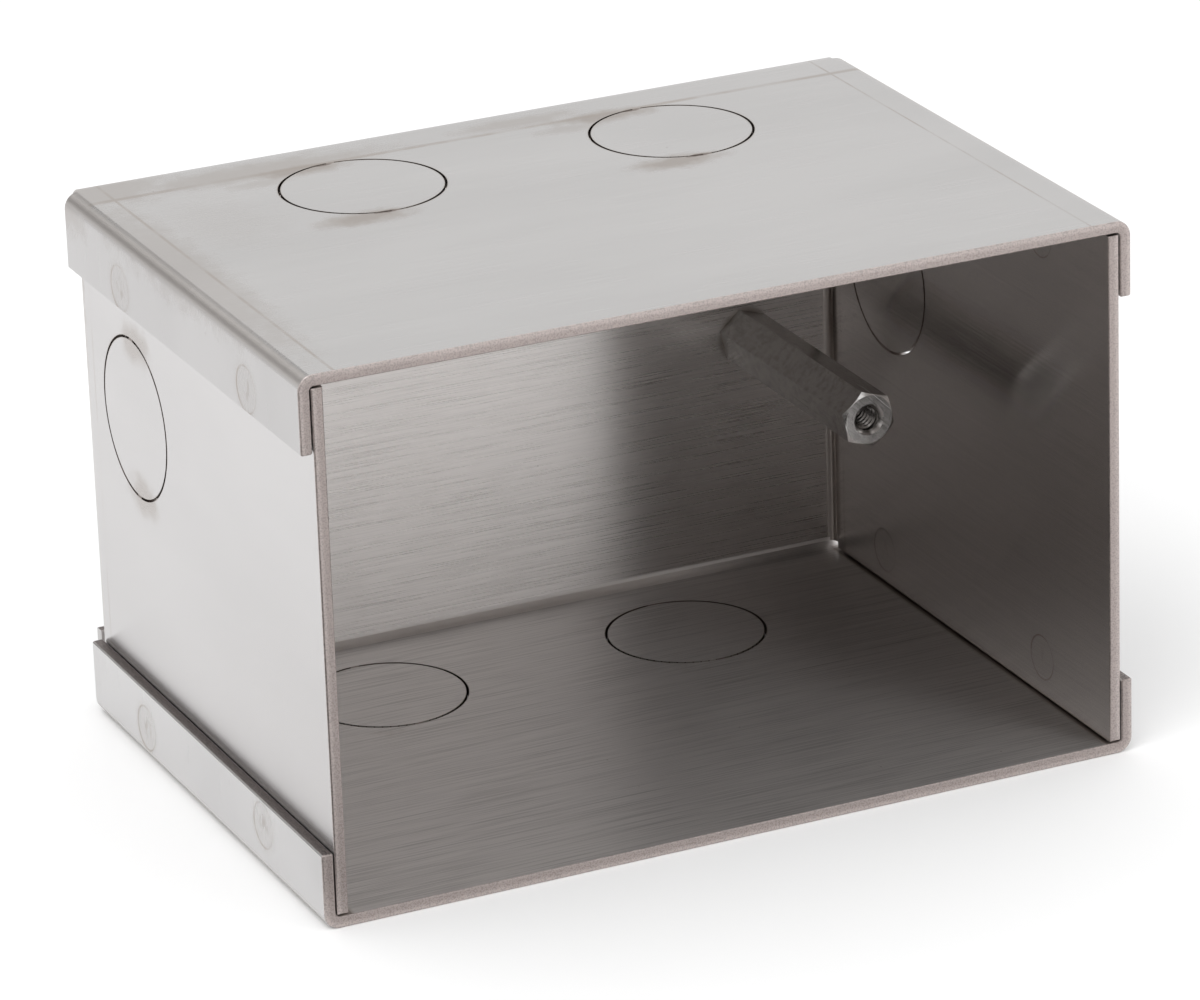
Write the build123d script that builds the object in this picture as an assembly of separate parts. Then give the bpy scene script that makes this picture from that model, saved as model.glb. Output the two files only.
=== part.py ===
"""Touch panel back box: a small open-fronted steel box, folded from sheet and spot welded.

A U-shaped strip makes the two walls and the back. A tray over the top and another under the floor turn their
edges over it on three sides. Two tapped standoffs reach forward from the back. X is the box's width, the mouth
faces -Y, +Z is up, and the origin is in the middle of the flat bottom.
"""
import os
from math import cos, radians, sqrt, tan

from build123d import *

# The box
width = 116.8            # over the side flanges
height = 74.9            # over the two trays
depth = 84.7             # from the mouth to the outside of the rear flanges
sheet = 1.6              # steel sheet, 16 gauge
edge_round = 0.25        # eased edge of the deburred sheet, round the mouth
tip_chamfer = 0.2        # flat left by the file on the flanges' long edges

# The trays' folded edges
flange_height = 10.5     # from the tray's outside to the flange's edge
side_bend = 0.6          # inside radius of the side bends
rear_bend = 2.9          # inside radius of the rear bend, which is made in a wider die
corner_gap = 0.2         # from a side bend's start to the rear flange's end, left open at the corner

# The wrap inside the trays
wall_bend = 1.2          # inside radius of the two upright bends
side_gap = 0.15          # between a wall and the flange outside it
rear_gap = 0.65          # between the back and the rear flanges
bend_clearance = 0.05    # between the strip's edge and the inside of a tray's bend

# Knockouts, which stay in until they are struck out
knockout_diameter = 22.2 # to the middle of the slot
slot_width = 0.35
tab_width = 1.2
knockout_from_mouth = 62.8
knockout_spacing = 45.4  # between the two in a tray
knockout_height = 48.4   # of the ones in the walls, from the bottom

# Spot welds, as (distance from the mouth, distance from the tray's outside)
weld_diameter = 6.4
weld_sink = 0.12         # depth of the electrode's mark in a flange
weld_print = 0.06        # depth of the fainter mark inside the wall
weld_slope = 0.5         # width of the mark's sloping rim
welds = {
    ("top", -1): [(17.5, 7.3), (61.0, 7.4)],
    ("top", 1): [(18.5, 7.1), (62.0, 6.8)],
    ("bottom", -1): [(19.8, 6.9), (61.0, 4.9)],
    ("bottom", 1): [(18.8, 7.2), (65.0, 6.6)],
}

# Standoffs for the panel's screws
screw_spacing = 83.34    # 3.281 in, the spacing of a single-gang device's screws
screw_height = 36.2      # from the bottom
standoff_length = 38.1
standoff_hex = 7.14      # across its flats, 9/32 in bar
standoff_face = 6.94     # diameter of the turned flat on its end
standoff_turn = 12.0     # degrees that the hexagon landed off square when it was pressed in
end_chamfer_angle = 30.0
thread_diameter = 3.5    # the tapped hole at the root of its number 6-32 thread
thread_depth = 19.0
countersink_diameter = 4.5
countersink_angle = 45.0
drill_angle = 59.0       # half the angle of the drill's point
shank_diameter = 4.7
shank_clearance = 0.02   # round the shank in the back

# Worked out from the above
wrap_half = width / 2 - sheet - side_gap
back_outside = depth - sheet - rear_gap
back_inside = back_outside - sheet
rear_bend_start = depth - sheet - rear_bend
rear_flange_half = width / 2 - sheet - side_bend - corner_gap


def bend_rise(inside_radius, gap):
    """How far a bend's inside has risen from the tray at this gap from the flange."""
    across = max(inside_radius - gap, 0)
    return inside_radius - sqrt(inside_radius**2 - across**2)


wall_end = sheet + bend_rise(side_bend, side_gap) + bend_clearance
back_end = max(sheet + bend_rise(rear_bend, rear_gap) + bend_clearance, wall_end)


def channel(across, reach, inside_radius, thickness):
    """A U section from y = 0 up to its open end at y = reach."""
    outside = Pos(0, reach / 2) * Rectangle(across, reach)
    outside = fillet(outside.vertices().group_by(Axis.Y)[0], inside_radius + thickness)
    inside = Pos(0, thickness + reach / 2) * Rectangle(across - 2 * thickness, reach)
    inside = fillet(inside.vertices().group_by(Axis.Y)[0], inside_radius)
    return outside - inside


def knockout_slot():
    """The two slots round a slug, as a cutter through a sheet: its tabs lie along Y."""
    middle = knockout_diameter / 2
    ring = Circle(middle + slot_width / 2) - Circle(middle - slot_width / 2)
    slots = ring - Rectangle(tab_width, 2 * knockout_diameter)
    return extrude(slots, 2 * sheet, both=True)


def dish(depth_of_mark):
    """A round mark of this depth, sinking from the XY plane towards -Z."""
    return Cone(
        weld_diameter / 2 - weld_slope, weld_diameter / 2, depth_of_mark, align=(Align.CENTER, Align.CENTER, Align.MAX)
    )


def weld_plane(x, from_mouth, z, side):
    """A plane on a side wall, with its normal pointing out of the box on that side."""
    return Plane(origin=(x, from_mouth, z), x_dir=(0, 1, 0), z_dir=(side, 0, 0))


def tray(level):
    """A tray with its plate on the floor and its flanges up, and the welds of its own level."""
    sides = extrude(Plane.XZ * channel(width, flange_height, side_bend, sheet), -rear_bend_start)

    # The rear bend and flange are half of a channel, seen from the side
    rear_section = Plane.YZ * Pos(depth - width / 2, 0) * channel(width, flange_height, rear_bend, sheet)
    rear = extrude(rear_section, rear_flange_half, both=True)
    rear &= Pos(0, rear_bend_start, 0) * Box(
        width, depth, height, align=(Align.CENTER, Align.MIN, Align.CENTER)
    )
    body = sides + rear

    tips = body.faces().filter_by(Axis.Z).group_by(Axis.Z)[-1]
    body = chamfer(tips.edges().filter_by(lambda edge: edge.length > flange_height), tip_chamfer)
    mouth = body.faces().filter_by(Axis.Y).sort_by(Axis.Y)[0]
    body = fillet(mouth.edges(), edge_round)

    for x in (-knockout_spacing / 2, knockout_spacing / 2):
        body -= Pos(x, knockout_from_mouth, sheet / 2) * knockout_slot()

    # Each weld sinks the flange's outside and brings its inside into touch with the wall
    for side in (-1, 1):
        for from_mouth, from_plate in welds[level, side]:
            outer = weld_plane(side * width / 2, from_mouth, from_plate, side)
            inner = weld_plane(side * (width / 2 - sheet), from_mouth, from_plate, -side)
            body -= outer * dish(weld_sink)
            body += inner * Cone(
                weld_diameter / 2 - weld_slope,
                weld_diameter / 2 - 2 * weld_slope,
                side_gap,
                align=(Align.CENTER, Align.CENTER, Align.MIN),
            )
    return body


def top_tray():
    """The upper tray: turned over, so that its flanges hang down."""
    return mirror(tray("top"), Plane.XY).translate((0, 0, height))


def wall_wrap():
    """The strip that makes both walls and the back, narrower where the trays' rear bends pass it."""
    section = Pos(0, back_outside) * mirror(channel(2 * wrap_half, back_outside, wall_bend, sheet), Plane.XZ)
    body = extrude(Pos(0, 0, wall_end) * section, height - 2 * wall_end)

    bend_start = back_outside - sheet - wall_bend
    trim = back_end - wall_end
    for z in (wall_end, height - wall_end - trim):
        body -= Pos(0, bend_start, z) * Box(2 * width, depth, trim, align=(Align.CENTER, Align.MIN, Align.MIN))

    mouth = body.faces().filter_by(Axis.Y).group_by(Axis.Y)[0]
    body = fillet(mouth.edges(), edge_round)

    for side in (-1, 1):
        wall = Plane(origin=(side * (wrap_half - sheet / 2), knockout_from_mouth, knockout_height), x_dir=(0, 1, 0),
                     z_dir=(side, 0, 0))
        body -= wall * knockout_slot()
        body -= Pos(side * screw_spacing / 2, back_inside + sheet / 2, screw_height) * Rot(X=90) * Cylinder(
            shank_diameter / 2 + shank_clearance, 2 * sheet
        )

    for (level, side), places in welds.items():
        for from_mouth, from_plate in places:
            z = from_plate if level == "bottom" else height - from_plate
            body -= weld_plane(side * (wrap_half - sheet), from_mouth, z, -side) * dish(weld_print)
    return body


def standoff(turn):
    """A hexagonal standoff along +Z, with its base on the XY plane and its shank below."""
    corner = standoff_hex / 2 / cos(radians(30))
    prism = extrude(RegularPolygon(corner, 6, rotation=30 + turn), standoff_length)

    # Turned shape: a coned end that leaves a round flat
    cone_drop = (corner - standoff_face / 2) * tan(radians(end_chamfer_angle))
    turned = Polyline(
        (0, 0),
        (corner, 0),
        (corner, standoff_length - cone_drop),
        (standoff_face / 2, standoff_length),
        (0, standoff_length),
        (0, 0),
    )
    body = prism & revolve(Plane.XZ * make_face(turned), Axis.Z)
    body += Cylinder(shank_diameter / 2, sheet, align=(Align.CENTER, Align.CENTER, Align.MAX))

    # The tapped hole: countersink, thread and drill point
    mouth_radius = countersink_diameter / 2
    thread_radius = thread_diameter / 2
    thread_start = standoff_length - (mouth_radius - thread_radius) * tan(radians(countersink_angle))
    thread_end = standoff_length - thread_depth
    hole = Polyline(
        (0, standoff_length),
        (mouth_radius, standoff_length),
        (thread_radius, thread_start),
        (thread_radius, thread_end),
        (0, thread_end - thread_radius / tan(radians(drill_angle))),
        (0, standoff_length),
    )
    return body - revolve(Plane.XZ * make_face(hole), Axis.Z)


def placed_standoff(side, turn):
    """A standoff on the back's inside, reaching forward."""
    return Pos(side * screw_spacing / 2, back_inside, screw_height) * Rot(X=90) * standoff(turn)


nodes = {
    "wall_wrap": wall_wrap(),
    "top_tray": top_tray(),
    "bottom_tray": tray("bottom"),
    "standoff_right": placed_standoff(1, standoff_turn),
    "standoff_left": placed_standoff(-1, -standoff_turn),
}

os.makedirs("parts", exist_ok=True)
for name, solid in nodes.items():
    export_step(solid.translate((0, -depth / 2, 0)), f"parts/{name}.step")
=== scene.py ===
"""Looks of a touch panel back box: a small satin steel box, folded and spot welded, with two standoffs."""
import math

import bpy
import numpy as np
from mathutils import Matrix, Vector


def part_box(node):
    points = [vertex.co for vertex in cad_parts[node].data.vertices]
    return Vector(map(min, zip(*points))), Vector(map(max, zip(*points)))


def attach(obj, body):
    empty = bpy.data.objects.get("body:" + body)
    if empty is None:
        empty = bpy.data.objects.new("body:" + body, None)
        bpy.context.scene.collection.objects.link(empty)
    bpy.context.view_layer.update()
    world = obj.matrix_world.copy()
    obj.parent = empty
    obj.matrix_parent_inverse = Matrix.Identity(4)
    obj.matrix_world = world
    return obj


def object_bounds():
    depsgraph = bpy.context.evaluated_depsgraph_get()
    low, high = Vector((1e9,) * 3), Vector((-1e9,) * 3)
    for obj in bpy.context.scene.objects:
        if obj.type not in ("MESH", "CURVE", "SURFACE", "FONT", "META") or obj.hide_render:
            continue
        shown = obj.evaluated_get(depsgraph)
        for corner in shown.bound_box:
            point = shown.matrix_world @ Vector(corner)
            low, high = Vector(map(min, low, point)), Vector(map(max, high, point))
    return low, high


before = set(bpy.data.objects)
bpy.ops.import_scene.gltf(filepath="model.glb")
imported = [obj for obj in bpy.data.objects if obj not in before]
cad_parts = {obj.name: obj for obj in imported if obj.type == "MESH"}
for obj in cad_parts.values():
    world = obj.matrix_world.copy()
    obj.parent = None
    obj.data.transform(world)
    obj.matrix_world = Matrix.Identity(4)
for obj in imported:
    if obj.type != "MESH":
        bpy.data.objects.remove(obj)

cad_low, cad_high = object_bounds()

# Wall wrap
# One strip of cold-rolled steel sheet, folded twice into the two walls and the back. It is sheared to size,
# its knockouts are cut through but for two tabs each, and it is spot welded between the trays. The rolling
# grain runs along the strip.
MM = 0.001
SHEET = 1.6 * MM
wrap_low, wrap_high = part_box("wall_wrap")
MOUTH_Y = wrap_low.y
REAR_Y = cad_high.y
BACK_INSIDE_Y = REAR_Y - 3.85 * MM
BOX_TOP = cad_high.z
HALF_HEIGHT = BOX_TOP / 2
BOX_HALF = cad_high.x
BOX_CENTRE = tuple((cad_low + cad_high) / 2)
WRAP_HALF = wrap_high.x
WALL_INSIDE_X = WRAP_HALF - SHEET
BACK_LOW_EDGE = 2.72 * MM
KNOCKOUT_Y = MOUTH_Y + 62.8 * MM
KNOCKOUT_Z = 48.4 * MM
KNOCKOUT_RADIUS = 11.1 * MM
WELD_RADIUS = 3.2 * MM
STANDOFF_X = 41.67 * MM
STANDOFF_Z = 36.2 * MM
WALL_STEEL = (0.62, 0.605, 0.603)
# The inside tones are the same steel painted lighter and warmer, the back most of all: painted light and
# shade.
WALL_INNER_PAINTED_LIGHT = (0.67, 0.64, 0.623)
BACK_INNER_PAINTED_LIGHT = (0.80, 0.765, 0.747)
SHEARED_BRIGHT = (0.58, 0.515, 0.495)
SHEARED_DULL = (0.47, 0.41, 0.392)
# Heat tint colours, also used for painted shade in corners, slots, joints and round the standoffs.
HEAT_AND_SHADE_BROWN = (0.43, 0.385, 0.35)
HEAT_AND_SHADE_DARK = (0.24, 0.20, 0.18)
# A painted highlight: bright lines along the back's long edges and the trays' rear bends.
PAINTED_HIGHLIGHT_COLOUR = (0.97, 0.94, 0.92)
BLACK = (0.0, 0.0, 0.0)
SATIN_ROUGHNESS = 0.22
BRUSHED = 1.0


def add(tree, kind, settings=None, **inputs):
    """A node of this kind: settings are its properties, inputs are values or sockets by name or by place."""
    node = tree.nodes.new(kind)
    for name, value in (settings or {}).items():
        setattr(node, name, value)
    for name, value in inputs.items():
        key = int(name[1:]) if name[0] == "_" else name.replace("_", " ")
        socket = node.inputs[key]
        if isinstance(value, bpy.types.NodeSocket):
            tree.links.new(value, socket)
        else:
            socket.default_value = value
    return node


def by_place(values):
    """Values as the inputs of a node whose sockets are told apart by their place."""
    return {f"_{place}": value for place, value in enumerate(values)}


def calc(tree, operation, *values):
    """The result of one math operation on these values or sockets."""
    return add(tree, "ShaderNodeMath", {"operation": operation}, **by_place(values)).outputs[0]


def vector_calc(tree, operation, *values):
    """The result of one vector operation: a vector, or a number where the operation measures one."""
    node = add(tree, "ShaderNodeVectorMath", {"operation": operation}, **by_place(values))
    return node.outputs["Value" if operation in ("LENGTH", "DISTANCE", "DOT_PRODUCT") else "Vector"]


def strongest(tree, *masks):
    """The highest of several masks, point by point."""
    total = masks[0]
    for mask in masks[1:]:
        total = calc(tree, "MAXIMUM", total, mask)
    return total


def overlap(tree, *masks):
    """Several masks multiplied: 1 only where all are 1."""
    total = masks[0]
    for mask in masks[1:]:
        total = calc(tree, "MULTIPLY", total, mask)
    return total


def ramp(tree, value, low, high, out_low=0.0, out_high=1.0):
    """The value carried smoothly from low..high to out_low..out_high, and held there beyond."""
    node = add(tree, "ShaderNodeMapRange", {"interpolation_type": "SMOOTHSTEP"}, Value=value)
    for name, number in (("From Min", low), ("From Max", high), ("To Min", out_low), ("To Max", out_high)):
        node.inputs[name].default_value = number
    return node.outputs[0]


def between(tree, value, low, high, soft):
    """1 where the value lies between two limits, with soft sides."""
    above = ramp(tree, value, low - soft, low + soft)
    below = ramp(tree, value, high - soft, high + soft, 1.0, 0.0)
    return overlap(tree, above, below)


def mix(tree, share, first, second):
    """One colour carried to another by a share from 0 to 1."""
    node = add(tree, "ShaderNodeMix", {"data_type": "RGBA"}, _0=share)
    for place, value in ((6, first), (7, second)):
        if isinstance(value, bpy.types.NodeSocket):
            tree.links.new(value, node.inputs[place])
        else:
            node.inputs[place].default_value = (*value, 1)
    return node.outputs[2]


def noise(tree, vector, scale, detail=2.0, roughness=0.5):
    """Plain noise from 0 to 1 at a scale in cycles for each unit of the vector."""
    node = add(tree, "ShaderNodeTexNoise", Vector=vector, Scale=scale, Detail=detail, Roughness=roughness)
    return node.outputs["Fac"]


def new_group(name, inputs, outputs):
    """An empty node group with these sockets, and its input and output nodes."""
    tree = bpy.data.node_groups.new(name, "ShaderNodeTree")
    for socket, kind in inputs:
        tree.interface.new_socket(socket, in_out="INPUT", socket_type=f"NodeSocket{kind}")
    for socket, kind in outputs:
        tree.interface.new_socket(socket, in_out="OUTPUT", socket_type=f"NodeSocket{kind}")
    return tree, tree.nodes.new("NodeGroupInput"), tree.nodes.new("NodeGroupOutput")


def use(tree, group, **inputs):
    """A group placed in a material with its own values."""
    return add(tree, "ShaderNodeGroup", {"node_tree": group}, **inputs)


def rolled_grain_group():
    """Rolled and brushed sheet: noise drawn out along the grain, fine lines over broader streaks.

    Streak is their sum from 0 to 1, Cloud is a broad drift, and Height is in metres for a bump.
    """
    tree, start, end = new_group(
        "rolled_grain",
        [("Along", "Float"), ("Across", "Float")],
        [("Streak", "Float"), ("Cloud", "Float"), ("Height", "Float")],
    )
    along, across = start.outputs["Along"], start.outputs["Across"]
    layers = []
    for cycles_along, cycles_across in ((70.0, 6000.0), (30.0, 2600.0), (14.0, 40.0)):
        place = add(
            tree, "ShaderNodeCombineXYZ",
            X=calc(tree, "MULTIPLY", along, cycles_along), Y=calc(tree, "MULTIPLY", across, cycles_across),
        )
        layers.append(noise(tree, place.outputs[0], 1.0, 3.0, 0.55))
    fine, broad, cloud = layers
    streak = calc(tree, "MULTIPLY_ADD", fine, 0.6, calc(tree, "MULTIPLY", broad, 0.4))
    grain_depth = 3.5e-6
    tree.links.new(streak, end.inputs["Streak"])
    tree.links.new(cloud, end.inputs["Cloud"])
    tree.links.new(calc(tree, "MULTIPLY", streak, grain_depth), end.inputs["Height"])
    return tree


def sheared_edge_group():
    """A sheared edge: a bright burnished band next to the outer skin, then a dull torn band, both speckled.

    Depth is the distance in from the outer skin and Torn, from 0 to 1, darkens the whole edge.
    """
    tree, start, end = new_group(
        "sheared_edge",
        [("Place", "Vector"), ("Depth", "Float"), ("Torn", "Float")],
        [("Colour", "Color"), ("Rough", "Float")],
    )
    place, depth = start.outputs["Place"], start.outputs["Depth"]
    speckle = noise(tree, place, 4200.0, 3.0, 0.6)
    wander = calc(tree, "MULTIPLY_ADD", noise(tree, place, 500.0), 0.5 * MM, depth)
    torn = ramp(tree, wander, 0.6 * MM, 1.1 * MM)
    bands = mix(tree, torn, SHEARED_BRIGHT, SHEARED_DULL)
    speckled = ramp(tree, speckle, 0.40, 0.60, 0.72, 1.14)
    level = calc(tree, "MULTIPLY_ADD", start.outputs["Torn"], -0.52, speckled)
    tree.links.new(mix(tree, level, BLACK, bands), end.inputs["Colour"])
    tree.links.new(ramp(tree, speckle, 0.3, 0.7, 0.42, 0.6), end.inputs["Rough"])
    return tree


def smudge_group():
    """A stain: 1 at Centre, falling to 0 at one Reach away along each axis, broken by noise."""
    tree, start, end = new_group(
        "smudge",
        [("Place", "Vector"), ("Centre", "Vector"), ("Reach", "Vector")],
        [("Mask", "Float")],
    )
    away = vector_calc(tree, "SUBTRACT", start.outputs["Place"], start.outputs["Centre"])
    length = vector_calc(tree, "LENGTH", vector_calc(tree, "DIVIDE", away, start.outputs["Reach"]))
    broken = noise(tree, start.outputs["Place"], 420.0, 4.0, 0.6)
    edge = calc(tree, "MULTIPLY_ADD", broken, 0.9, calc(tree, "SUBTRACT", length, 0.45))
    tree.links.new(ramp(tree, edge, 0.25, 1.0, 1.0, 0.0), end.inputs["Mask"])
    return tree


def ruled_line_group():
    """A faint pressed line where Offset is near 0, of this Width, coming and going with noise."""
    tree, start, end = new_group(
        "ruled_line",
        [("Place", "Vector"), ("Offset", "Float"), ("Width", "Float")],
        [("Mask", "Float")],
    )
    near = calc(tree, "DIVIDE", calc(tree, "ABSOLUTE", start.outputs["Offset"]), start.outputs["Width"])
    patch = ramp(tree, noise(tree, start.outputs["Place"], 130.0, 3.0), 0.35, 0.6, 0.35, 1.0)
    tree.links.new(overlap(tree, ramp(tree, near, 0.2, 1.0, 1.0, 0.0), patch), end.inputs["Mask"])
    return tree


def pitted_group():
    """A few tiny dark pits: the middles of some cells of a coarse cell pattern. Mask is 1 in a pit."""
    tree, start, end = new_group("pitted", [("Place", "Vector")], [("Mask", "Float")])
    cells = add(tree, "ShaderNodeTexVoronoi", Vector=start.outputs["Place"], Scale=190.0)
    draw = add(tree, "ShaderNodeSeparateColor", Color=cells.outputs["Color"]).outputs[0]
    chosen = ramp(tree, draw, 0.55, 0.6)
    close = ramp(tree, cells.outputs["Distance"], 0.014, 0.034, 1.0, 0.0)
    tree.links.new(overlap(tree, chosen, close), end.inputs["Mask"])
    return tree


def weld_mark_group():
    """A spot weld's mark from the distance to its middle: a brown rim, a smudged middle and a grey halo.

    Rim and Smudge are masks; the rim is just inside the place where Distance meets Radius.
    """
    tree, start, end = new_group(
        "weld_mark",
        [("Place", "Vector"), ("Distance", "Float"), ("Radius", "Float")],
        [("Rim", "Float"), ("Smudge", "Float")],
    )
    place = start.outputs["Place"]
    share = calc(tree, "DIVIDE", start.outputs["Distance"], start.outputs["Radius"])
    off_rim = calc(tree, "ABSOLUTE", calc(tree, "SUBTRACT", share, 0.97))
    patch = ramp(tree, noise(tree, place, 300.0), 0.3, 0.6, 0.35, 1.0)
    tree.links.new(overlap(tree, ramp(tree, off_rim, 0.015, 0.06, 1.0, 0.0), patch), end.inputs["Rim"])
    drawn = vector_calc(tree, "MULTIPLY", place, (1.0, 1.0, 0.35))
    mottle = ramp(tree, noise(tree, drawn, 1500.0, 3.0), 0.42, 0.62)
    middle = overlap(tree, ramp(tree, share, 0.15, 0.75, 1.0, 0.0), mottle)
    halo = ramp(tree, share, 0.9, 1.5, 0.25, 0.0)
    tree.links.new(strongest(tree, middle, halo), end.inputs["Smudge"])
    return tree


def slot_rim_group():
    """A round slot's tinted rim: 1 where Distance meets Radius, fading past the slot's own half width."""
    tree, start, end = new_group(
        "slot_rim",
        [("Place", "Vector"), ("Distance", "Float"), ("Radius", "Float")],
        [("Mask", "Float")],
    )
    off = calc(tree, "ABSOLUTE", calc(tree, "SUBTRACT", start.outputs["Distance"], start.outputs["Radius"]))
    patch = ramp(tree, noise(tree, start.outputs["Place"], 260.0), 0.35, 0.6, 0.25, 0.75)
    rim = overlap(tree, ramp(tree, off, 0.16 * MM, 0.4 * MM, 1.0, 0.0), patch)
    # The slot's own cut faces, fully dark: painted shade in the narrow slot.
    in_slot = ramp(tree, off, 0.175 * MM, 0.19 * MM, 1.0, 0.0)
    tree.links.new(strongest(tree, rim, in_slot), end.inputs["Mask"])
    return tree


rolled_grain = rolled_grain_group()
sheared_edge = sheared_edge_group()
smudge = smudge_group()
ruled_line = ruled_line_group()
pitted = pitted_group()
weld_mark = weld_mark_group()
slot_rim = slot_rim_group()


def place_and_normal(tree):
    """The point's coordinates, then the coordinates and the normal each split into x, y and z."""
    place = add(tree, "ShaderNodeTexCoord").outputs["Object"]
    point = add(tree, "ShaderNodeSeparateXYZ", Vector=place)
    normal = add(tree, "ShaderNodeSeparateXYZ", Vector=add(tree, "ShaderNodeNewGeometry").outputs["Normal"])
    return place, point.outputs, normal.outputs


def nearest(tree, place, centres):
    """The distance to the nearest of these points."""
    total = None
    for centre in centres:
        one = vector_calc(tree, "DISTANCE", place, centre)
        total = one if total is None else calc(tree, "MINIMUM", total, one)
    return total


def stain(tree, place, spots):
    """The strongest of several smudges, each given as (centre, reach, strength)."""
    masks = []
    for centre, reach, strength in spots:
        mask = use(tree, smudge, Place=place, Centre=centre, Reach=reach).outputs["Mask"]
        masks.append(calc(tree, "MULTIPLY", mask, strength))
    return strongest(tree, *masks)


def die_lines(tree, place, lines):
    """The strongest of several pressed lines, each given as (coordinate, where it lies, width)."""
    masks = []
    for coordinate, where, width in lines:
        offset = calc(tree, "SUBTRACT", coordinate, where)
        masks.append(use(tree, ruled_line, Place=place, Offset=offset, Width=width).outputs["Mask"])
    return strongest(tree, *masks)


def slot_rims(tree, place, kept, centres):
    """The rims of the round slots about these centres, on the plane of the two coordinates that are kept."""
    distance = nearest(tree, vector_calc(tree, "MULTIPLY", place, kept), centres)
    return use(tree, slot_rim, Place=place, Distance=distance, Radius=KNOCKOUT_RADIUS).outputs["Mask"]


def weld_marks(tree, place, centres):
    """The marks of the spot welds about these centres."""
    distance = nearest(tree, place, centres)
    return use(tree, weld_mark, Place=place, Distance=distance, Radius=WELD_RADIUS).outputs


def mouth_edge(tree, point, normal):
    """1 on the sheared edge that faces out of the mouth."""
    near = ramp(tree, point["Y"], MOUTH_Y + 0.2 * MM, MOUTH_Y + 0.3 * MM, 1.0, 0.0)
    return overlap(tree, near, ramp(tree, normal["Y"], -0.5, -0.2, 1.0, 0.0))


def sheet_shader(
    tree, place, steel, inner, grain, coarse, across, heat_and_shade, lines, painted_highlight, sheared, edge, roughness, rise
):
    """Satin steel, to the surface, from its masks: grain, browning with painted shade, pressed lines, a
    painted highlight and sheared edges.

    The reflection is drawn out along the vector across, as brushing does. Inside the box, where the surface
    faces the middle, the steel takes its inner colour, which is painted light and shade, the grain is
    stronger by coarse and the roughness grows by rise.
    """
    inward = vector_calc(tree, "SUBTRACT", BOX_CENTRE, place)
    facing = vector_calc(tree, "DOT_PRODUCT", inward, add(tree, "ShaderNodeNewGeometry").outputs["Normal"])
    inside = ramp(tree, facing, 0.0, 10 * MM)

    # Colour: the steel with its grain, then what lies over it
    streak = ramp(tree, grain["Streak"], 0.32, 0.68, -1.0, 1.0)
    contrast = calc(tree, "MULTIPLY_ADD", inside, coarse, 0.03)
    drift = ramp(tree, grain["Cloud"], 0.3, 0.7, 0.95, 1.01)
    shade = calc(tree, "MULTIPLY", calc(tree, "MULTIPLY_ADD", streak, contrast, 0.98), drift)
    # Inside, the steel takes its inner tone, which is painted light and shade.
    colour = mix(tree, shade, BLACK, mix(tree, inside, steel, inner))
    # Browning, and painted shade where the mask holds corners, slots, joints and standoff bases.
    colour = mix(tree, heat_and_shade, colour, HEAT_AND_SHADE_BROWN)
    colour = mix(tree, ramp(tree, heat_and_shade, 0.65, 1.0), colour, HEAT_AND_SHADE_DARK)
    colour = mix(tree, lines, colour, HEAT_AND_SHADE_BROWN)
    pits = use(tree, pitted, Place=place).outputs["Mask"]
    colour = mix(tree, calc(tree, "MULTIPLY", pits, 0.6), colour, HEAT_AND_SHADE_DARK)
    # Painted highlight on the bands it is given.
    colour = mix(tree, painted_highlight, colour, PAINTED_HIGHLIGHT_COLOUR)
    colour = mix(tree, sheared, colour, edge["Colour"])

    # Roughness: each effect adds its own share
    plain = calc(tree, "MULTIPLY_ADD", inside, rise, roughness - 0.05)
    grainy = calc(tree, "MULTIPLY_ADD", grain["Streak"], 0.10, plain)
    # The roughness of the painted highlight band.
    burnished = calc(tree, "MULTIPLY_ADD", painted_highlight, 0.25, grainy)
    stained = calc(tree, "MULTIPLY_ADD", heat_and_shade, 0.10, burnished)
    rough = add(tree, "ShaderNodeMix", {"data_type": "FLOAT"}, _0=sheared, _2=stained, _3=edge["Rough"])

    bump = add(tree, "ShaderNodeBump", Strength=0.6, Distance=1.0, Height=grain["Height"])
    brushed = calc(tree, "MULTIPLY_ADD", strongest(tree, sheared, painted_highlight), -BRUSHED, BRUSHED)
    shader = add(
        tree, "ShaderNodeBsdfPrincipled", Base_Color=colour, Metallic=1.0, Roughness=rough.outputs[0],
        Anisotropic=brushed, Tangent=across, Normal=bump.outputs[0],
    )
    output = add(tree, "ShaderNodeOutputMaterial")
    tree.links.new(shader.outputs[0], output.inputs["Surface"])


def new_material(name):
    """An empty node material."""
    material = bpy.data.materials.new(name)
    material.use_nodes = True
    material.node_tree.nodes.clear()
    return material


def dress(node, material):
    """A CAD node's own mesh, in this material."""
    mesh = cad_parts[node].data
    mesh.materials.clear()
    mesh.materials.append(material)


def weld_places(level):
    """Side, y and z of the spot welds in one tray's flanges, which were struck by hand."""
    struck = {
        "top": ((-1, 17.5, 7.3), (-1, 61.0, 7.4), (1, 18.5, 7.1), (1, 62.0, 6.8)),
        "bottom": ((-1, 19.8, 6.9), (-1, 61.0, 4.9), (1, 18.8, 7.2), (1, 65.0, 6.6)),
    }[level]
    return [
        (side, MOUTH_Y + from_mouth * MM, from_plate * MM if level == "bottom" else BOX_TOP - from_plate * MM)
        for side, from_mouth, from_plate in struck
    ]


def wrap_spots():
    """Heat smudges at the tabs of the wall knockouts, and painted shade down the two rear corners inside."""
    spots = []
    for side in (-1, 1):
        for end in (-1, 1):
            tab = (side * WRAP_HALF, KNOCKOUT_Y - 1.5 * MM, KNOCKOUT_Z + end * KNOCKOUT_RADIUS * 0.97)
            spots.append((tab, (2 * MM, 7 * MM, 4 * MM), 0.55))
        # Painted shade down each rear corner inside.
        corner = (side * WALL_INSIDE_X, BACK_INSIDE_Y, 62 * MM)
        spots.append((corner, (2.5 * MM, 2.5 * MM, 24 * MM), 0.9))
    return spots


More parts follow.
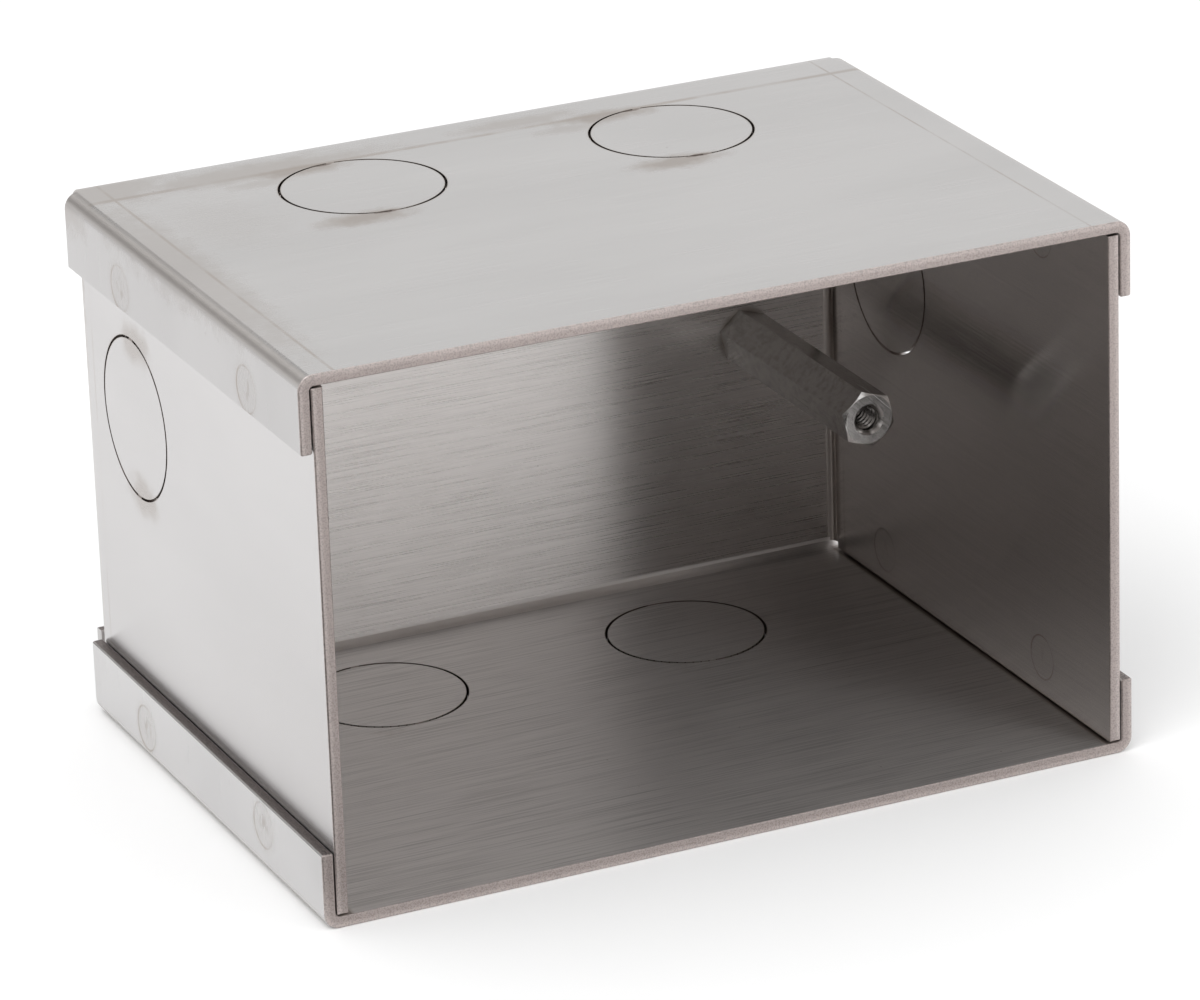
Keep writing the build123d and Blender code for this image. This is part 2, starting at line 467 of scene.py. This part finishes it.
def wrap_material():
    """The wrap's sheet: grain along the strip, browning at the tabs, painted shade in the rear corners,
    sheared ends at the mouth.
    """
    material = new_material("wrap_sheet")
    tree = material.node_tree
    place, point, normal = place_and_normal(tree)
    grain = use(tree, rolled_grain, Along=calc(tree, "ADD", point["X"], point["Y"]), Across=point["Z"])
    depth = calc(tree, "SUBTRACT", WRAP_HALF, calc(tree, "ABSOLUTE", point["X"]))
    edge = use(tree, sheared_edge, Place=place, Depth=depth)

    # Where the sheet is the back, its rear corners inside and the narrow band by its long edges. The rear
    # bends inside get painted shade, and the band by the long edges a painted highlight.
    on_back = ramp(tree, point["Y"], BACK_INSIDE_Y - 0.15 * MM, BACK_INSIDE_Y - 0.05 * MM)
    turning_back = ramp(tree, point["Y"], BACK_INSIDE_Y - 1.15 * MM, BACK_INSIDE_Y - 0.05 * MM)
    in_corner = overlap(
        tree, between(tree, depth, 1.2 * MM, 2.7 * MM, 0.1 * MM),
        between(tree, point["Y"], BACK_INSIDE_Y - 1.05 * MM, BACK_INSIDE_Y + 0.1 * MM, 0.1 * MM),
    )
    from_middle = calc(tree, "ABSOLUTE", calc(tree, "SUBTRACT", point["Z"], HALF_HEIGHT))
    from_edge = calc(tree, "SUBTRACT", HALF_HEIGHT - BACK_LOW_EDGE, from_middle)
    # Painted highlight band along the back's long edges.
    by_edge = overlap(tree, on_back, ramp(tree, from_edge, 0.4 * MM, 0.6 * MM, 1.0, 0.0))

    # Heat: smudges, weld prints and the slots' rims. Painted shade: in the slots, down the rear corners and
    # in rings round the standoffs' bases, as their contact shadow.
    print_places = [(side * WALL_INSIDE_X, y, z) for side, y, z in weld_places("top") + weld_places("bottom")]
    prints = weld_marks(tree, place, print_places)
    rims = slot_rims(tree, place, (0.0, 1.0, 1.0), [(0.0, KNOCKOUT_Y, KNOCKOUT_Z)])
    bases = [(side * STANDOFF_X, BACK_INSIDE_Y, STANDOFF_Z) for side in (-1, 1)]
    # Painted contact shadow round the base of each standoff on the back.
    standoff_shadow_rings = ramp(tree, nearest(tree, place, bases), 3.6 * MM, 4.5 * MM, 0.8, 0.0)
    heat_and_shade = strongest(
        tree, stain(tree, place, wrap_spots()), calc(tree, "MULTIPLY", prints["Smudge"], 0.3), standoff_shadow_rings, rims,
        # Painted shade over the inside of the rear bends.
        calc(tree, "MULTIPLY", in_corner, 0.72),
    )
    bend_lines = die_lines(tree, place, (
        (point["Y"], MOUTH_Y + 77.5 * MM, 0.3 * MM),
        (point["Y"], MOUTH_Y + 80.0 * MM, 0.5 * MM),
    ))
    back_rise = calc(tree, "MULTIPLY_ADD", on_back, 0.10, -0.04)
    # The walls' and the back's inside tones are painted light and shade.
    sheet_shader(
        tree, place, steel=WALL_STEEL, inner=mix(tree, turning_back, WALL_INNER_PAINTED_LIGHT, BACK_INNER_PAINTED_LIGHT),
        grain=grain.outputs, coarse=calc(tree, "MULTIPLY_ADD", on_back, 0.09, 0.05),
        across=add(tree, "ShaderNodeCombineXYZ", X=normal["Z"], Z=1.0).outputs[0], heat_and_shade=heat_and_shade,
        lines=strongest(tree, prints["Rim"], calc(tree, "MULTIPLY", bend_lines, 0.4)), painted_highlight=by_edge,
        sheared=mouth_edge(tree, point, normal), edge=edge.outputs, roughness=SATIN_ROUGHNESS,
        rise=calc(tree, "MULTIPLY_ADD", in_corner, 0.08, back_rise),
    )
    return material


dress("wall_wrap", wrap_material())

# Top and bottom trays
# Each is one sheet with its left, right and rear edges folded over the wrap in a press brake, whose die left
# faint lines beside the bends. Spot welds through the side flanges hold it. Heat browned the knockouts' tabs,
# and the side bends are tinted browner. Inside, the tray is painted lighter, with a painted highlight on the
# rear bend and painted shade along the joints with the walls; the flanges' outsides are painted lighter too.
SIDE_BEND = 2.2 * MM
FLANGE = 10.5 * MM
KNOCKOUT_X = 22.7 * MM
TRAY_STEEL = (0.615, 0.602, 0.595)
# The tray's inside tone is the same steel painted lighter and warmer: painted light and shade.
TRAY_INNER_PAINTED_LIGHT = (0.67, 0.642, 0.628)
# The flanges' outsides, the bottom ones most, are painted lighter: painted light.
FLANGE_STEEL_PAINTED_LIGHT = {"top": (0.625, 0.612, 0.61), "bottom": (0.71, 0.70, 0.70)}
TRAY_ROUGHNESS = 0.26
TAB_HEAT = 0.72


def tray_section(tree, point):
    """The tray's section seen from the mouth, which is part of a rounded rectangle.

    Gives the depth below the outer skin, which is less the signed distance to that rectangle, how far the
    point lies round a side bend, and its height above the plate's outside.
    """
    out_x = calc(tree, "SUBTRACT", calc(tree, "ABSOLUTE", point["X"]), BOX_HALF - SIDE_BEND)
    from_middle = calc(tree, "ABSOLUTE", calc(tree, "SUBTRACT", point["Z"], HALF_HEIGHT))
    out_z = calc(tree, "SUBTRACT", from_middle, HALF_HEIGHT - SIDE_BEND)
    corner_x = calc(tree, "MAXIMUM", out_x, 0.0)
    corner_z = calc(tree, "MAXIMUM", out_z, 0.0)
    square_x = calc(tree, "MULTIPLY", corner_x, corner_x)
    square_z = calc(tree, "MULTIPLY", corner_z, corner_z)
    off_corner = calc(tree, "SQRT", calc(tree, "ADD", square_x, square_z))
    off_flat = calc(tree, "MINIMUM", calc(tree, "MAXIMUM", out_x, out_z), 0.0)
    depth = calc(tree, "SUBTRACT", SIDE_BEND, calc(tree, "ADD", off_corner, off_flat))
    round_bend = calc(tree, "MINIMUM", corner_x, corner_z)
    return depth, round_bend, calc(tree, "SUBTRACT", HALF_HEIGHT, from_middle)


def tray_material(level, outside_z, flange_edge_z, spots):
    """A tray's sheet: grain across the box, die lines by the bends, browning at the tabs, two-toned edges,
    with painted light and shade inside and on the flanges.
    """
    material = new_material(f"{level}_sheet")
    tree = material.node_tree
    place, point, normal = place_and_normal(tree)
    rearward = ramp(tree, normal["Y"], 0.0, 1.0)
    grain = use(
        tree, rolled_grain, Along=calc(tree, "ADD", point["X"], point["Z"]),
        Across=calc(tree, "MULTIPLY_ADD", rearward, point["Z"], point["Y"]),
    )
    depth, round_bend, from_plate = tray_section(tree, point)
    from_side = calc(tree, "ABSOLUTE", point["X"])

    # The flanges' filed edges, their outsides, which are painted lighter as painted light, and the plate's
    # outside
    at_tip = overlap(
        tree, between(tree, point["Z"], flange_edge_z - 0.1 * MM, flange_edge_z + 0.1 * MM, 0.05 * MM),
        ramp(tree, calc(tree, "ABSOLUTE", normal["Z"]), 0.6, 0.9),
    )
    edge = use(tree, sheared_edge, Place=place, Depth=depth, Torn=at_tip)
    outer_flange = overlap(
        tree, ramp(tree, from_side, BOX_HALF - 0.4 * MM, BOX_HALF - 0.1 * MM),
        ramp(tree, calc(tree, "ABSOLUTE", normal["X"]), 0.8, 1.0),
    )
    on_plate = between(tree, point["Z"], outside_z - 0.2 * MM, outside_z + 0.2 * MM, 0.05 * MM)

    # Inside: a painted highlight on the rear bend where it rises behind the plate, and painted shade along
    # the joints with the walls
    enclosed = overlap(
        tree, ramp(tree, from_side, BOX_HALF - 1.2 * MM, BOX_HALF - 1.0 * MM, 1.0, 0.0),
        ramp(tree, point["Y"], REAR_Y - 1.2 * MM, REAR_Y - 1.0 * MM, 1.0, 0.0),
    )
    # Painted highlight on the rear bend, fading to the right.
    rear_bend = overlap(
        tree, ramp(tree, point["Y"], REAR_Y - 4.6 * MM, REAR_Y - 4.2 * MM), enclosed,
        between(tree, from_plate, 1.5 * MM, 4.6 * MM, 0.05 * MM),
        ramp(tree, point["X"], 28 * MM, 50 * MM, 1.0, 0.3),
    )
    # Painted shade on the plate along the foot of each wall.
    by_wall = overlap(
        tree, ramp(tree, from_side, 53.9 * MM, 54.7 * MM), enclosed,
        between(tree, from_plate, 1.5 * MM, 1.7 * MM, 0.05 * MM),
    )

    welds = weld_marks(tree, place, [(side * BOX_HALF, y, z) for side, y, z in weld_places(level)])
    rims = slot_rims(tree, place, (1.0, 1.0, 0.0), [(side * KNOCKOUT_X, KNOCKOUT_Y, 0.0) for side in (-1, 1)])
    heat_and_shade = strongest(
        tree, stain(tree, place, spots), calc(tree, "MULTIPLY", welds["Smudge"], 0.55), rims,
        ramp(tree, round_bend, 0.3 * MM, 1.2 * MM, 0.0, 0.45), calc(tree, "MULTIPLY", by_wall, 0.9),
    )
    bend_lines = die_lines(tree, place, (
        (point["X"], -53.5 * MM, 0.35 * MM),
        (point["X"], 52.6 * MM, 0.25 * MM),
        (point["Y"], MOUTH_Y + 74.2 * MM, 0.8 * MM),
    ))
    on_outside = calc(tree, "MULTIPLY", overlap(tree, bend_lines, on_plate), 0.7)
    brushed_along = add(tree, "ShaderNodeCombineXYZ", Y=1.0, Z=calc(tree, "MULTIPLY", normal["Y"], -0.5))
    sheet_shader(
        tree, place, steel=mix(tree, outer_flange, TRAY_STEEL, FLANGE_STEEL_PAINTED_LIGHT[level]), inner=TRAY_INNER_PAINTED_LIGHT,
        grain=grain.outputs, coarse=0.26, across=brushed_along.outputs[0], heat_and_shade=heat_and_shade,
        lines=strongest(tree, on_outside, calc(tree, "MULTIPLY", welds["Rim"], 0.9)), painted_highlight=rear_bend,
        sheared=strongest(tree, mouth_edge(tree, point, normal), at_tip), edge=edge.outputs,
        roughness=TRAY_ROUGHNESS, rise=0.06,
    )
    return material


def tab_spots(z):
    """Heat smudges at the two tabs of each of a tray's knockouts."""
    spots = []
    for side in (-1, 1):
        for aside, back, reach_x, reach_y, share in (
            (-5.0, 10.4, 10.0, 3.4, 1.0),
            (-11.5, 8.0, 7.0, 2.4, 0.45),
            (-1.4, 10.9, 3.4, 1.1, 1.3),
            (-4.5, -12.0, 9.0, 3.6, 1.0),
            (-1.2, -11.0, 3.6, 1.1, 1.3),
        ):
            centre = (side * KNOCKOUT_X + aside * MM, KNOCKOUT_Y + back * MM, z)
            spots.append((centre, (reach_x * MM, reach_y * MM, 2 * MM), TAB_HEAT * share))
    return spots


top_spots = [
    ((-BOX_HALF + 4 * MM, REAR_Y - 6 * MM, BOX_TOP), (14 * MM, 10 * MM, 8 * MM), 0.4),
    ((-BOX_HALF + 3 * MM, 0.0, BOX_TOP), (6 * MM, 50 * MM, 6 * MM), 0.35),
    ((-33 * MM, REAR_Y - 9 * MM, BOX_TOP), (26 * MM, 5 * MM, 3 * MM), 0.45),
    ((6 * MM, REAR_Y - 8 * MM, BOX_TOP), (13 * MM, 3 * MM, 3 * MM), 0.4),
    ((-44 * MM, 16 * MM, BOX_TOP), (10 * MM, 14 * MM, 3 * MM), 0.1),
]
dress("top_tray", tray_material("top", BOX_TOP, BOX_TOP - FLANGE, tab_spots(BOX_TOP) + top_spots))
dress("bottom_tray", tray_material("bottom", 0.0, FLANGE, tab_spots(0.0)))

# Standoffs and their threads
# Each is a hexagonal steel bar, turned at both ends, drilled, countersunk and tapped, and pressed into the
# back. The tapped thread is made here: its ridge winds down inside the plain bore that the solid has.
THREAD_RADIUS = 1.75 * MM
THREAD_HEIGHT = 0.34 * MM
THREAD_PITCH = 25.4 / 32 * MM
THREAD_LENGTH = 18.0 * MM
THREAD_SKIN = 0.04 * MM
THREAD_CLEARANCE = 0.01 * MM
COUNTERSINK_DEPTH = 0.5 * MM
TURNING_DEPTH = 4e-6
DRAWN_STEEL_PAINTED_SHADE = (0.47, 0.455, 0.44)
TURNED_END_PAINTED_HIGHLIGHT = (0.90, 0.88, 0.865)
THREAD_PAINTED_SHADE = (0.36, 0.345, 0.33)


def standoff_material():
    """Bright drawn bar: fine lines along its length, turning marks on its end, painted shade on its sides and
    in its hole, and a painted highlight on its end.
    """
    material = new_material("drawn_bar")
    tree = material.node_tree
    place, point, normal = place_and_normal(tree)
    around = calc(tree, "ADD", point["X"], point["Z"])
    grain = use(tree, rolled_grain, Along=point["Y"], Across=around).outputs
    axes = [(side * STANDOFF_X, 0.0, STANDOFF_Z) for side in (-1, 1)]
    to_axis = nearest(tree, vector_calc(tree, "MULTIPLY", place, (1.0, 0.0, 1.0)), axes)
    on_end = ramp(tree, normal["Y"], -0.6, -0.25, 1.0, 0.0)
    in_hole = ramp(tree, to_axis, 1.8 * MM, 2.1 * MM, 1.0, 0.0)

    mottle = ramp(tree, noise(tree, place, 900.0, 4.0, 0.6), 0.35, 0.65, 0.8, 1.08)
    shade = calc(tree, "MULTIPLY", ramp(tree, grain["Streak"], 0.3, 0.7, 0.9, 1.05), mottle)
    # Painted shade on the sides and in the hole, painted highlight on the turned end.
    steel = mix(tree, in_hole, mix(tree, on_end, DRAWN_STEEL_PAINTED_SHADE, TURNED_END_PAINTED_HIGHLIGHT), THREAD_PAINTED_SHADE)
    cycles_out = add(tree, "ShaderNodeCombineXYZ", X=calc(tree, "MULTIPLY", to_axis, 4200.0)).outputs[0]
    turned = calc(tree, "MULTIPLY", overlap(tree, noise(tree, cycles_out, 1.0, 0.0), on_end), TURNING_DEPTH)
    height = calc(tree, "ADD", turned, grain["Height"])
    bump = add(tree, "ShaderNodeBump", Strength=1.0, Distance=1.0, Height=height)
    shader = add(
        tree, "ShaderNodeBsdfPrincipled", Base_Color=mix(tree, shade, BLACK, steel), Metallic=1.0,
        Roughness=ramp(tree, grain["Streak"], 0.3, 0.7, 0.16, 0.28), Normal=bump.outputs[0],
    )
    output = add(tree, "ShaderNodeOutputMaterial")
    tree.links.new(shader.outputs[0], output.inputs["Surface"])
    return material


def ring_mesh(name, points):
    """A mesh from a grid of points: each row is closed round, and the last row is joined to the first."""
    rows, columns = points.shape[:2]
    index = np.arange(rows * columns).reshape(rows, columns)
    after = np.roll(index, -1, axis=1)
    below = np.roll(index, -1, axis=0)
    below_after = np.roll(below, -1, axis=1)
    quads = np.stack([index, after, below_after, below], axis=-1).reshape(-1, 4)
    mesh = bpy.data.meshes.new(name)
    mesh.from_pydata(points.reshape(-1, 3).tolist(), [], quads.tolist())
    mesh.shade_smooth()
    return mesh


def thread_points(centre_x, centre_z, tip_y):
    """A sleeve whose inside is the thread.

    Round the bore by an angle and down it by a length, the inner radius is the bore's less a ridge, which is
    a clipped triangle wave of (length / pitch - angle / turn). The outer radius is just inside the metal.
    """
    turn = np.linspace(0, 2 * np.pi, 49)[:-1]
    length = np.linspace(0, THREAD_LENGTH, 277)
    phase = (length[:, None] / THREAD_PITCH - turn[None, :] / (2 * np.pi)) % 1.0
    ridge = np.clip(1.25 - 2.5 * np.abs(phase - 0.5) * 2 + 0.35, 0, 1)
    fade = np.clip(length / THREAD_PITCH, 0, 1)[:, None]
    inner = THREAD_RADIUS - THREAD_CLEARANCE - THREAD_HEIGHT * ridge * fade
    outer = np.full_like(inner, THREAD_RADIUS + THREAD_SKIN)
    radius = np.concatenate([inner, outer[::-1]])
    down = np.concatenate([length, length[::-1]])
    x = centre_x + radius * np.cos(turn)
    z = centre_z + radius * np.sin(turn)
    y = np.repeat((tip_y + COUNTERSINK_DEPTH + down)[:, None], len(turn), axis=1)
    return np.stack([x, y, z], axis=-1)


bar_material = standoff_material()
for side in ("left", "right"):
    dress(f"standoff_{side}", bar_material)
    low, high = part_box(f"standoff_{side}")
    points = thread_points((low.x + high.x) / 2, (low.z + high.z) / 2, low.y)
    thread = bpy.data.objects.new(f"thread_{side}", ring_mesh(f"thread_{side}", points))
    bpy.context.scene.collection.objects.link(thread)
    thread.data.materials.append(bar_material)
    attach(thread, "root")

# Floor, cards, louvre, lamp and camera
# The box stands on a wide white floor under an even white sky, with one broad lamp to give its shadow. Three
# dark cards and a louvre in front of the mouth, seen only in reflections, are the unlit side of the studio.
scene = bpy.context.scene
scene.view_settings.view_transform = "Standard"
FLOOR_HALF = 4.0
FLOOR_WHITE = (0.93, 0.93, 0.93)
SKY_STRENGTH = 1.0
LOUVRE_LOW = (0.045, 0.042, 0.04)
LOUVRE_HIGH = (0.62, 0.60, 0.59)
SLAT_NEAR = 1 * MM
SLAT_FAR = 46 * MM
SLAT_LOW = 0.5 * MM
SLAT_TOP = 95 * MM


def stage_object(name, points, faces, material):
    """A mesh of these points and faces, as part of the stage."""
    mesh = bpy.data.meshes.new(name)
    mesh.from_pydata(points, [], faces)
    mesh.materials.append(material)
    piece = bpy.data.objects.new(name, mesh)
    scene.collection.objects.link(piece)
    return piece


def flat_card(name, corner, first, second, material):
    """A flat four-cornered card from one corner and its two edges."""
    corner, first, second = Vector(corner), Vector(first), Vector(second)
    corners = [corner, corner + first, corner + first + second, corner + second]
    return stage_object(name, corners, [(0, 1, 2, 3)], material)


def only_in_reflections(piece):
    """A stage piece that no eye, shadow or soft light sees."""
    for sight in ("camera", "diffuse", "transmission", "volume_scatter", "shadow"):
        setattr(piece, f"visible_{sight}", False)


def plain_material(name, colour, roughness):
    """One colour without shine, for the stage alone."""
    material = new_material(name)
    tree = material.node_tree
    shader = add(
        tree, "ShaderNodeBsdfPrincipled", Base_Color=(*colour, 1), Roughness=roughness, Specular_IOR_Level=0.0
    )
    output = add(tree, "ShaderNodeOutputMaterial")
    tree.links.new(shader.outputs[0], output.inputs["Surface"])
    return material


def louvre_material():
    """Glows as a painted reflection: dark from one side, lighter upwards; from the other side it is not
    there.
    """
    material = new_material("louvre")
    tree = material.node_tree
    place = add(tree, "ShaderNodeTexCoord").outputs["Object"]
    height = add(tree, "ShaderNodeSeparateXYZ", Vector=place).outputs["Z"]
    colour = mix(tree, ramp(tree, height, 30 * MM, 85 * MM), LOUVRE_LOW, LOUVRE_HIGH)
    dark = add(tree, "ShaderNodeEmission", Color=colour, Strength=1.0).outputs[0]
    clear = add(tree, "ShaderNodeBsdfTransparent").outputs[0]
    back = add(tree, "ShaderNodeNewGeometry").outputs["Backfacing"]
    one_sided = add(tree, "ShaderNodeMixShader", _0=back, _1=dark, _2=clear)
    output = add(tree, "ShaderNodeOutputMaterial")
    tree.links.new(one_sided.outputs[0], output.inputs["Surface"])
    return material


flat_card(
    "floor", (-FLOOR_HALF, -FLOOR_HALF, 0), (2 * FLOOR_HALF, 0, 0), (0, 2 * FLOOR_HALF, 0),
    plain_material("white_floor", FLOOR_WHITE, 0.9),
)
for name, corner, first, second, colour in (
    ("floor_flag", (-0.9, -0.9, 0.0005), (0.85, 0, 0), (0, 0.85, 0), (0.10, 0.085, 0.078)),
    ("front_flag", (-1.18, -0.21, 0), (1.18, -0.99, 0), (0, 0, 1.2), (0.15, 0.125, 0.115)),
    ("back_flag", (-0.9, 1.15, 0.3), (1.1, 0.12, 0), (0, 0, 0.62), (0.05, 0.045, 0.042)),
):
    only_in_reflections(flat_card(name, corner, first, second, plain_material(name, colour, 1.0)))

slat_places = np.arange(-70, 71, 14) * MM
slat_corners = ((SLAT_NEAR, SLAT_LOW), (SLAT_FAR, SLAT_LOW), (SLAT_FAR, SLAT_TOP), (SLAT_NEAR, SLAT_TOP))
slat_points = [(x, MOUTH_Y - out, z) for x in slat_places for out, z in slat_corners]
slat_faces = [(4 * i + 3, 4 * i + 2, 4 * i + 1, 4 * i) for i in range(len(slat_places))]
only_in_reflections(stage_object("louvre", slat_points, slat_faces, louvre_material()))

world = bpy.data.worlds.new("white_sky")
world.use_nodes = True
sky = world.node_tree
sky.nodes.clear()
background = add(sky, "ShaderNodeBackground", Color=(1, 1, 1, 1), Strength=SKY_STRENGTH)
sky.links.new(background.outputs[0], add(sky, "ShaderNodeOutputWorld").inputs["Surface"])
scene.world = world

LAMP_PLACE = Vector((-0.7, -0.5, 1.3))
LAMP_WATTS = 8.0
LAMP_SIZE = 0.9
BOX_MIDDLE = (cad_low + cad_high) / 2
light = bpy.data.lights.new("key_lamp", "AREA")
light.shape = "SQUARE"
light.size = LAMP_SIZE
light.energy = LAMP_WATTS
lamp = bpy.data.objects.new("key_lamp", light)
lamp.location = LAMP_PLACE
lamp.rotation_euler = (BOX_MIDDLE - LAMP_PLACE).to_track_quat("-Z", "Y").to_euler()
scene.collection.objects.link(lamp)

CAMERA_AZIMUTH = math.radians(-24.39)
CAMERA_ELEVATION = math.radians(21.51)
CAMERA_ROLL = math.radians(-1.95)
CAMERA_DISTANCE = 889 * MM
CAMERA_AIM_ASIDE = 0.9 * MM
CAMERA_AIM_UP = -4.4 * MM
FOCAL_SHARE = 6671 / 1200        # focal length over the picture's width
SENSOR = 36.0

ahead = Vector((
    -math.sin(CAMERA_AZIMUTH) * math.cos(CAMERA_ELEVATION),
    math.cos(CAMERA_AZIMUTH) * math.cos(CAMERA_ELEVATION),
    -math.sin(CAMERA_ELEVATION),
))
aside = Vector((math.cos(CAMERA_AZIMUTH), math.sin(CAMERA_AZIMUTH), 0))
upward = aside.cross(ahead)
aim = BOX_MIDDLE + CAMERA_AIM_ASIDE * aside + CAMERA_AIM_UP * upward
right = aside * math.cos(CAMERA_ROLL) + upward * math.sin(CAMERA_ROLL)
turned = Matrix((right, right.cross(ahead), -ahead)).transposed()
camera_data = bpy.data.cameras.new("camera")
camera_data.sensor_width = SENSOR
camera_data.lens = SENSOR * FOCAL_SHARE
camera_data.clip_start = 0.01
camera_data.clip_end = 50
camera = bpy.data.objects.new("camera", camera_data)
camera.matrix_world = Matrix.Translation(aim - ahead * CAMERA_DISTANCE) @ turned.to_4x4()
scene.collection.objects.link(camera)
scene.camera = camera
